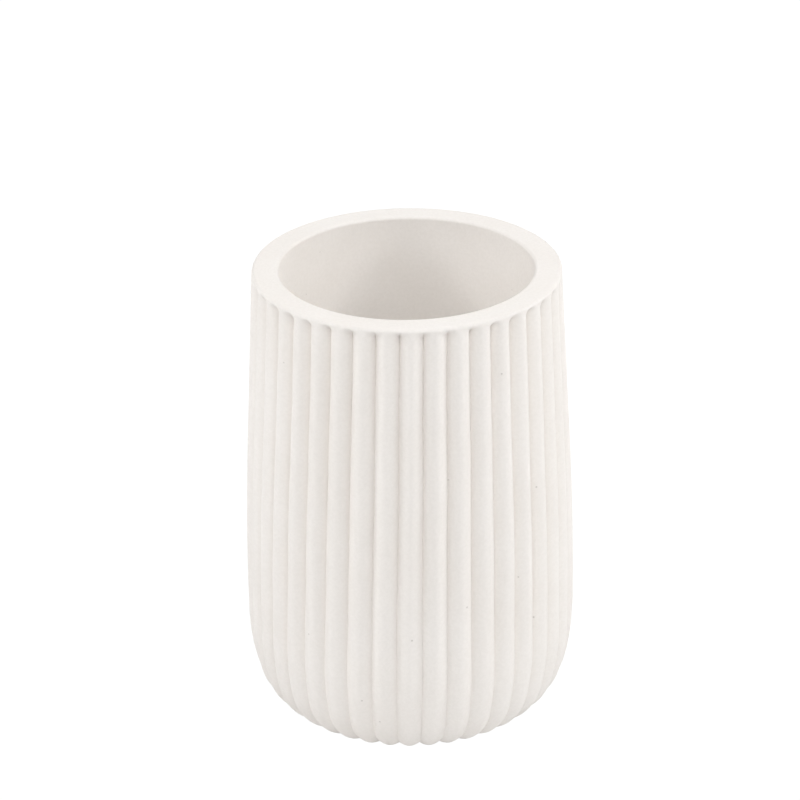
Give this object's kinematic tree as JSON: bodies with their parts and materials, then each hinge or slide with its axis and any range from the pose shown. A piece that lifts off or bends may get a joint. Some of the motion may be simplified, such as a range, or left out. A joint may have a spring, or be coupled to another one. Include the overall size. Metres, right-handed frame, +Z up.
{
  "type": "bathroom tumbler",
  "caption": "Heavy cast-resin bathroom tumbler with upright ribs, a rounded heel, a plain flat rim and a smooth bore, standing on a glued non-slip disc.",
  "frame": {"origin": "middle of the non-slip disc's underside, on the surface that the tumbler stands on", "axes": "+Z up along the cup's axis; -Y faces the viewer, with a rib crest at the front"},
  "size_m": [0.0772, 0.0772, 0.11],
  "materials": {
    "cast_resin": "matt warm off-white cast polyresin with a fine sandy grain and a few pinholes",
    "adhesive": "thin clear-amber pressure-sensitive film",
    "eva_foam": "matt off-white closed-cell foam sheet"
  },
  "bodies": {
    "root": {"tumbler_body": "cast_resin", "adhesive_film": "adhesive", "non_slip_disc": "eva_foam"}
  },
  "joints": []
}
